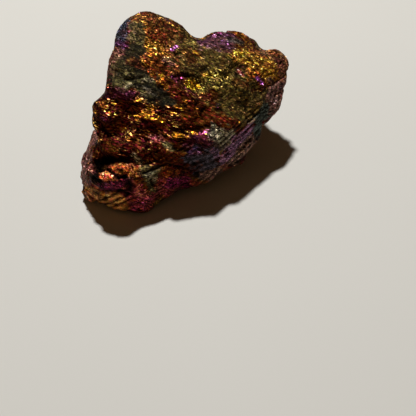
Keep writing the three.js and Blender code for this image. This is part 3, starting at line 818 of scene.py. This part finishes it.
@dataclass(frozen=True)
class PaleBoard:
    """Matt painted board: an even pale grey that takes a soft shadow."""

    colour: str = "dcdad2"
    roughness: float = 0.7
    mottle_size: float = 83.33  # how wide the places are where the paint is thicker or thinner
    mottle: float = 0.015  # how much brighter or darker they are

    def build(self) -> bpy.types.Material:
        """Makes the material.

        Returns:
            The material.
        """
        material = bpy.data.materials.new("pale_board")
        material.use_nodes = True
        tree = material.node_tree
        tree.nodes.clear()
        place = add(tree, "TexCoord").outputs["Object"]
        mottle = add(tree, "TexNoise", Vector=place, Scale=1 / (self.mottle_size * MM))
        value = add(
            tree, "MapRange", Value=mottle, To_Min=1 - self.mottle, To_Max=1 + self.mottle
        )
        tone = add(tree, "HueSaturation", Value=value, Color=(*linear(self.colour), 1))
        surface = add(tree, "BsdfPrincipled", Base_Color=tone, Roughness=self.roughness)
        add(tree, "OutputMaterial", Surface=surface)
        return material


@dataclass
class Coat:
    """The tarnish at each point of the skin, and the painted shade and highlight that the relief
    and its ribs add to it.
    """

    count: int  # how many points there are
    first: Tarnish = Tarnish.MAROON  # what they all start with
    colours: dict[str, np.ndarray] = field(init=False)
    traits: dict[str, np.ndarray] = field(init=False)

    def __post_init__(self) -> None:
        """Covers every point with the first tarnish."""
        tone = self.first.value
        self.colours = {
            name: np.tile(linear(getattr(tone, name)), (self.count, 1)) for name in COLOURS
        }
        self.traits = {name: np.full(self.count, getattr(tone, name)) for name in TRAITS}

    def lay(self, tarnish: Tarnish, share: np.ndarray) -> None:
        """Blends a tarnish in.

        Args:
            tarnish: which one.
            share: how much of it each point takes, from 0 to 1.
        """
        for name, values in self.colours.items():
            values += share[:, None] * (np.array(linear(getattr(tarnish.value, name))) - values)
        for name, values in self.traits.items():
            values += share * (getattr(tarnish.value, name) - values)

    def write(self, mesh: bpy.types.Mesh) -> None:
        """Gives it all to a mesh, as attributes of its points.

        Args:
            mesh: the skin.
        """
        for name, values in self.colours.items():
            layer = mesh.color_attributes.new(name, "FLOAT_COLOR", "POINT")
            layer.data.foreach_set("color", np.c_[values, np.ones(self.count)].ravel())
        for name, values in self.traits.items():
            layer = mesh.attributes.new(name, "FLOAT", "POINT")
            layer.data.foreach_set("value", values)


@dataclass
class OreLump:
    """The lump's fine skin: ledges, chips, pits, ribs and cracks, and the tarnish on them."""

    view: Viewpoint
    finish: TarnishedBornite = TarnishedBornite()
    rock: BVHTree = field(init=False)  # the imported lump's surface
    merged: float = 0.001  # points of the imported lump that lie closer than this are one
    sole: float = 0.01  # what lies lower than this is the flat spot that it rests on
    splits: int = 3  # new points along each edge of its triangles
    rounding: int = 3  # passes that take the corners off them
    foot: float = 0.8  # how high above the floor the relief is whole
    ledges: tuple[Ledges, ...] = (
        Ledges(2.3, 0.22, Cloud(9.0, 2.7), Cloud(7.2, 8.1, -0.45, 0.1)),
        Ledges(0.95, 0.26, Cloud(4.0, 3.7), Cloud(3.2, 9.1, -0.45, 0.1)),
    )
    chips: tuple[Chips, ...] = (Chips(2.4, 0.09, 0.0), Chips(0.85, 0.12, 5.3))
    chip_stretch: Triple = (0.6, 1.0, 1.6)  # chips are long along the strike and thin
    pits: Cloud = Cloud(1.7, 4.4, 0.25, 0.6)
    pitted: Cloud = Cloud(7.0, 1.9, -0.1, 0.4)  # where the pits are
    pit_depth: float = 0.5
    rib_stray: Cloud = Cloud(5.0, 5.9)  # how ribs wander, in half pitches
    rib_crest: float = 0.6  # where a rib is highest, as a share of its pitch
    rib_level: float = 0.3  # how much of a rib's height is below the rock's own face
    deepest: float = -1.8
    proudest: float = 1.2
    ground: tuple[tuple[Tarnish, Cloud], ...] = (
        (T.SPECKLE, Cloud(14.0, 3.1, 0.0, 0.35)),
        (T.OLIVE, Cloud(11.0, 6.4, 0.1, 0.4)),
        (T.CRIMSON, Cloud(9.0, 9.8, 0.2, 0.45)),
        (T.VIOLET, Cloud(8.0, 12.2, 0.3, 0.5)),
        (T.MATRIX, Cloud(9.0, 15.7, 0.3, 0.45)),
        (T.EMBER, Cloud(7.0, 18.3, 0.3, 0.5)),
    )
    streaks: tuple[tuple[Tarnish, Cloud], ...] = (
        (T.EMBER, Cloud(1.6, 31.1, 0.2, 0.35)),
        (T.MAGENTA, Cloud(1.2, 33.7, 0.46, 0.56)),
        (T.BRONZE, Cloud(1.0, 37.9, 0.3, 0.4)),
    )
    streak_stretch: Triple = (0.45, 1.0, 1.3)  # streaks are long along the strike
    rags: tuple[tuple[float, Cloud], ...] = ((0.55, Cloud(2.0, 7.7)), (0.4, Cloud(0.8, 3.3)))
    edge: Span = (0.7, 1.1)  # where a patch starts to fade and has faded, in half widths
    rib_edge: Span = (0.6, 1.2)  # the same of a band of ribs
    rust: Cloud = Cloud(1.3, 24.9, 0.3, 0.5)  # specks of ember on every metal
    rust_share: float = 0.5
    gaps: Cloud = Cloud(0.9, 21.3, 0.3, 0.55)  # painted shade in the gaps between the plates
    gap_share: float = 0.75
    # Painted shade and highlight: how far the skin stands out, and how bright its colour is
    # painted there.
    shades: tuple[Span, ...] = ((-0.9, 0.12), (-0.25, 0.75), (0.1, 1.05), (0.6, 1.4))

    def build(self) -> bpy.types.Object:
        """Makes the skin and dresses it.

        Returns:
            The skin.
        """
        mesh = bpy.data.meshes.new("ore_skin")
        shape = bmesh.new()
        shape.from_mesh(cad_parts[NODE].data)
        bmesh.ops.remove_doubles(shape, verts=shape.verts, dist=self.merged * MM)
        self.rock = BVHTree.FromBMesh(shape)
        bmesh.ops.subdivide_edges(shape, edges=shape.edges, cuts=self.splits, use_grid_fill=True)
        loose = [vert for vert in shape.verts if vert.co.z >= self.sole * MM]
        axes = {"use_axis_x": True, "use_axis_y": True, "use_axis_z": True}
        for _ in range(self.rounding):
            bmesh.ops.smooth_vert(shape, verts=loose, factor=0.5, **axes)
        shape.normal_update()
        points = np.array([vert.co for vert in shape.verts]) / MM
        normals = np.array([vert.normal for vert in shape.verts])
        relief = self.relief(points)
        low, high = (np.array(corner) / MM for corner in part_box(NODE))
        raised = relief * smoothstep(0, self.foot, points[:, 2])
        moved = np.clip(points + normals * raised[:, None], low, high)
        for vert, place in zip(shape.verts, moved):
            vert.co = Vector(place) * MM
        shape.to_mesh(mesh)
        shape.free()
        mesh.shade_smooth()
        self.dress(mesh, points, relief)
        skin = bpy.data.objects.new("ore_skin", mesh)
        bpy.context.scene.collection.objects.link(skin)
        return skin

    def spot(self, pixel: Pixel) -> np.ndarray:
        """Finds the place on the rock that a pixel of the view shows.

        Args:
            pixel: the place in the view.

        Returns:
            The point in millimetres, which for a pixel that misses the rock is the nearest one.
        """
        start = Vector(self.view.place) * MM
        sight = self.view.ray(pixel)
        hit = self.rock.ray_cast(start, sight)[0]
        if hit is None:
            away = (start - sum(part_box(NODE), Vector()) / 2).length
            hit = self.rock.find_nearest(start + sight * away)[0]
        return np.array(hit) / MM

    def distance(self, points: np.ndarray, path: tuple[Pixel, ...]) -> np.ndarray:
        """How far each point lies from a path across the view.

        Args:
            points: one point to a row.
            path: pixels of the view.

        Returns:
            One distance in millimetres for each point.
        """
        corners = [self.spot(pixel) for pixel in path]
        nearest = np.full(len(points), np.inf)
        for start, end in zip(corners, corners[1:]):
            along = end - start
            share = np.clip((points - start) @ along / max(along @ along, 1e-6), 0, 1)
            gap = np.linalg.norm(points - start - share[:, None] * along, axis=1)
            nearest = np.minimum(nearest, gap)
        return nearest

    def relief(self, points: np.ndarray) -> np.ndarray:
        """Cuts the ledges, chips, pits, ribs and cracks.

        Args:
            points: one point to a row.

        Returns:
            How far the skin stands out from the plain rock at each point, in millimetres.
        """
        height = sum(ledges.heights(points) for ledges in self.ledges)
        stretched = points @ GRAIN.T * self.chip_stretch
        height += sum(chips.heights(stretched) for chips in self.chips)
        height -= self.pit_depth * self.pits.share(points) * self.pitted.share(points)
        for striae in STRIAE:
            inside, turns = self.ribs(points, striae)
            back = 1 - self.rib_crest
            rib = np.abs(np.mod(turns + back, 1) - back)
            height += striae.depth * inside * (rib - self.rib_level)
        for cut in CUTS:
            gap = self.distance(points, cut.path) / cut.width
            height -= cut.depth * np.exp(-gap * gap)
        return np.clip(height, self.deepest, self.proudest)

    def ribs(self, points: np.ndarray, striae: Striae) -> tuple[np.ndarray, np.ndarray]:
        """Where the ribs of one band of striae run.

        Args:
            points: one point to a row.
            striae: the band.

        Returns:
            How far each point lies inside the band, from 0 to 1, and its count of ribs from the
            band's path, which is whole in the furrows.
        """
        gap = self.distance(points, striae.path) / striae.width
        inside = 1 - smoothstep(*self.rib_edge, gap)
        start, end = self.spot(striae.path[0]), self.spot(striae.path[-1])
        sideways = np.cross(end - start, np.array(self.view.ray(striae.path[0])))
        sideways /= np.linalg.norm(sideways)
        return inside, points @ sideways / striae.pitch + 0.5 * self.rib_stray.values(points)

    def dress(self, mesh: bpy.types.Mesh, points: np.ndarray, relief: np.ndarray) -> None:
        """Lays the tarnish on the skin, with painted shade and highlight by its relief, and gives
        it its finish.

        Args:
            mesh: the skin.
            points: where its points lay on the plain rock, in millimetres.
            relief: how far each stands out.
        """
        coat = Coat(len(points))
        streaked = points @ GRAIN.T * self.streak_stretch
        for tarnish, cloud in self.ground:
            coat.lay(tarnish, cloud.share(points))
        for tarnish, cloud in self.streaks:
            coat.lay(tarnish, cloud.share(streaked))
        (long, streaky), (short, fine) = self.rags
        ragged = long * streaky.values(streaked) + short * fine.values(points)
        for patch in PATCHES:
            gap = self.distance(points, patch.path) / patch.width + ragged
            coat.lay(patch.tarnish, patch.strength * (1 - smoothstep(*self.edge, gap)))
        rusty = self.rust_share * self.rust.share(streaked) * coat.traits["metal"]
        coat.lay(T.EMBER, rusty)
        # Painted shade in the gaps between the plates.
        coat.lay(T.PAINTED_SHADE, self.gap_share * self.gaps.share(streaked))

        # The ribs' painted shade and highlight: how strongly each point takes it, and its count of
        # ribs.
        turns, furrows = np.zeros(coat.count), np.zeros(coat.count)
        for striae in STRIAE:
            inside, count = self.ribs(points, striae)
            darker = inside * striae.lines
            turns = np.where(darker > furrows, count, turns)
            furrows = np.maximum(darker, furrows)
        # Painted shade in the hollows of the relief and painted highlight on its proud places.
        shade = np.interp(relief, *zip(*self.shades))
        coat.traits |= dict(zip(FROM_RELIEF, (shade, turns, furrows)))
        coat.write(mesh)
        mesh.materials.append(self.finish.build())


@dataclass(frozen=True)
class Studio:
    """The pale floor and the soft light. Its lengths are metres."""

    floor_size: float = 3.0
    middle: Triple = (0.0, 0.0, 0.02)  # what the lights face
    key_direction: Triple = (0.076, -0.404, -0.911)
    key_distance: float = 0.9
    key_size: float = 0.07
    key_power: float = 8.0  # watts
    key_colour: str = "ffffff"
    fill_place: Triple = (-0.25, -0.8, 0.5)
    fill_size: float = 0.1
    fill_power: float = 4.0
    sky: str = "b08c64"
    sky_strength: float = 0.1

    def build(self) -> None:
        """Makes the floor, the key light, the fill and the dim room round them."""
        mesh = bpy.data.meshes.new("floor")
        shape = bmesh.new()
        bmesh.ops.create_grid(shape, x_segments=1, y_segments=1, size=self.floor_size / 2)
        shape.to_mesh(mesh)
        shape.free()
        mesh.materials.append(PaleBoard().build())
        floor = bpy.data.objects.new("floor", mesh)
        bpy.context.scene.collection.objects.link(floor)

        back = Vector(self.key_direction).normalized() * self.key_distance
        above = Vector(self.middle) - back
        self.lamp("key", above, self.key_size, self.key_power, self.key_colour)
        aside = Vector(self.fill_place)
        fill = self.lamp("fill", aside, self.fill_size, self.fill_power, self.sky)
        fill.visible_diffuse = False  # it only glints on the metal

        world = bpy.data.worlds.new("room")
        world.use_nodes = True
        background = world.node_tree.nodes["Background"]
        background.inputs["Color"].default_value = (*linear(self.sky), 1)
        background.inputs["Strength"].default_value = self.sky_strength
        bpy.context.scene.world = world
        bpy.context.scene.view_settings.view_transform = "Standard"

    def lamp(
        self, name: str, place: Vector, size: float, power: float, colour: str
    ) -> bpy.types.Object:
        """Adds a round soft light that faces the lump.

        Args:
            name: the light's name.
            place: where it hangs.
            size: how wide it is.
            power: in watts.
            colour: as six hex digits.

        Returns:
            The light.
        """
        light = bpy.data.lights.new(name, "AREA")
        light.shape = "DISK"
        light.size = size
        light.energy = power
        light.color = linear(colour)
        lamp = bpy.data.objects.new(name, light)
        lamp.location = place
        lamp.rotation_euler = (Vector(self.middle) - place).to_track_quat("-Z", "Y").to_euler()
        bpy.context.scene.collection.objects.link(lamp)
        return lamp


def main() -> None:
    """Builds the lump and the studio, and notes how many points the skin has."""
    logging.basicConfig(level=logging.INFO, format="%(message)s")
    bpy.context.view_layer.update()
    view = Viewpoint()
    view.camera()
    skin = OreLump(view).build()
    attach(skin, "root")
    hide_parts(NODE)
    log.info("ore_skin: %d points", len(skin.data.vertices))
    Studio().build()


if __name__ == "__main__":
    main()
